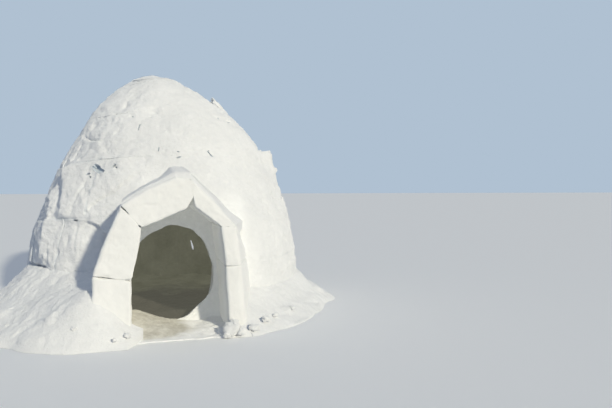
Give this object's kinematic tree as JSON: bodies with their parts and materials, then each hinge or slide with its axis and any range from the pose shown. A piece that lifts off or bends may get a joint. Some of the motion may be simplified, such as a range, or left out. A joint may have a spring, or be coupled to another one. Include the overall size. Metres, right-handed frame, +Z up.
{
  "type": "snow igloo with entrance porch",
  "caption": "Tall snow dome laid as a rising spiral of blocks to a king block, with a round doorway behind a gabled porch of snow slabs, and snow banks at its foot.",
  "frame": {"origin": "centre of the dome's ring on the ground", "axes": "+Z up, the entrance faces -Y, +X is the right hand of a person who looks at the entrance"},
  "size_m": [3.7131, 3.9407, 2.355],
  "materials": {
    "wall_snow": "matte",
    "slab_snow": "matte",
    "packed_snow": "matte",
    "trampled_snow": "matte",
    "floor_snow": "matte"
  },
  "bodies": {
    "root": {"back_bank": "packed_snow", "back_left_bank": "packed_snow", "back_right_bank": "packed_snow", "front_left_bank": "packed_snow", "front_right_bank": "packed_snow", "king_block": "wall_snow", "left_bank": "packed_snow", "left_foot_heap": "packed_snow", "left_jamb_lower": "slab_snow", "left_jamb_upper": "slab_snow", "left_roof_slab": "slab_snow", "left_saddle_snow": "packed_snow", "packed_floor": "floor_snow", "right_bank": "packed_snow", "right_foot_heap": "packed_snow", "right_jamb_lower": "slab_snow", "right_jamb_upper": "slab_snow", "right_roof_slab": "slab_snow", "right_saddle_snow": "packed_snow", "threshold": "trampled_snow", "turn_1_back_blocks": "wall_snow", "turn_1_front_blocks": "wall_snow", "turn_1_left_blocks": "wall_snow", "turn_1_right_blocks": "wall_snow", "turn_2_back_blocks": "wall_snow", "turn_2_front_blocks": "wall_snow", "turn_2_left_blocks": "wall_snow", "turn_2_right_blocks": "wall_snow", "turn_3_back_blocks": "wall_snow", "turn_3_front_blocks": "wall_snow", "turn_3_left_blocks": "wall_snow", "turn_3_right_blocks": "wall_snow", "turn_4_back_blocks": "wall_snow", "turn_4_front_blocks": "wall_snow", "turn_4_left_blocks": "wall_snow", "turn_4_right_blocks": "wall_snow", "turn_5_left_blocks": "wall_snow", "turn_5_right_blocks": "wall_snow", "turn_6_crown_blocks": "wall_snow"}
  },
  "joints": []
}
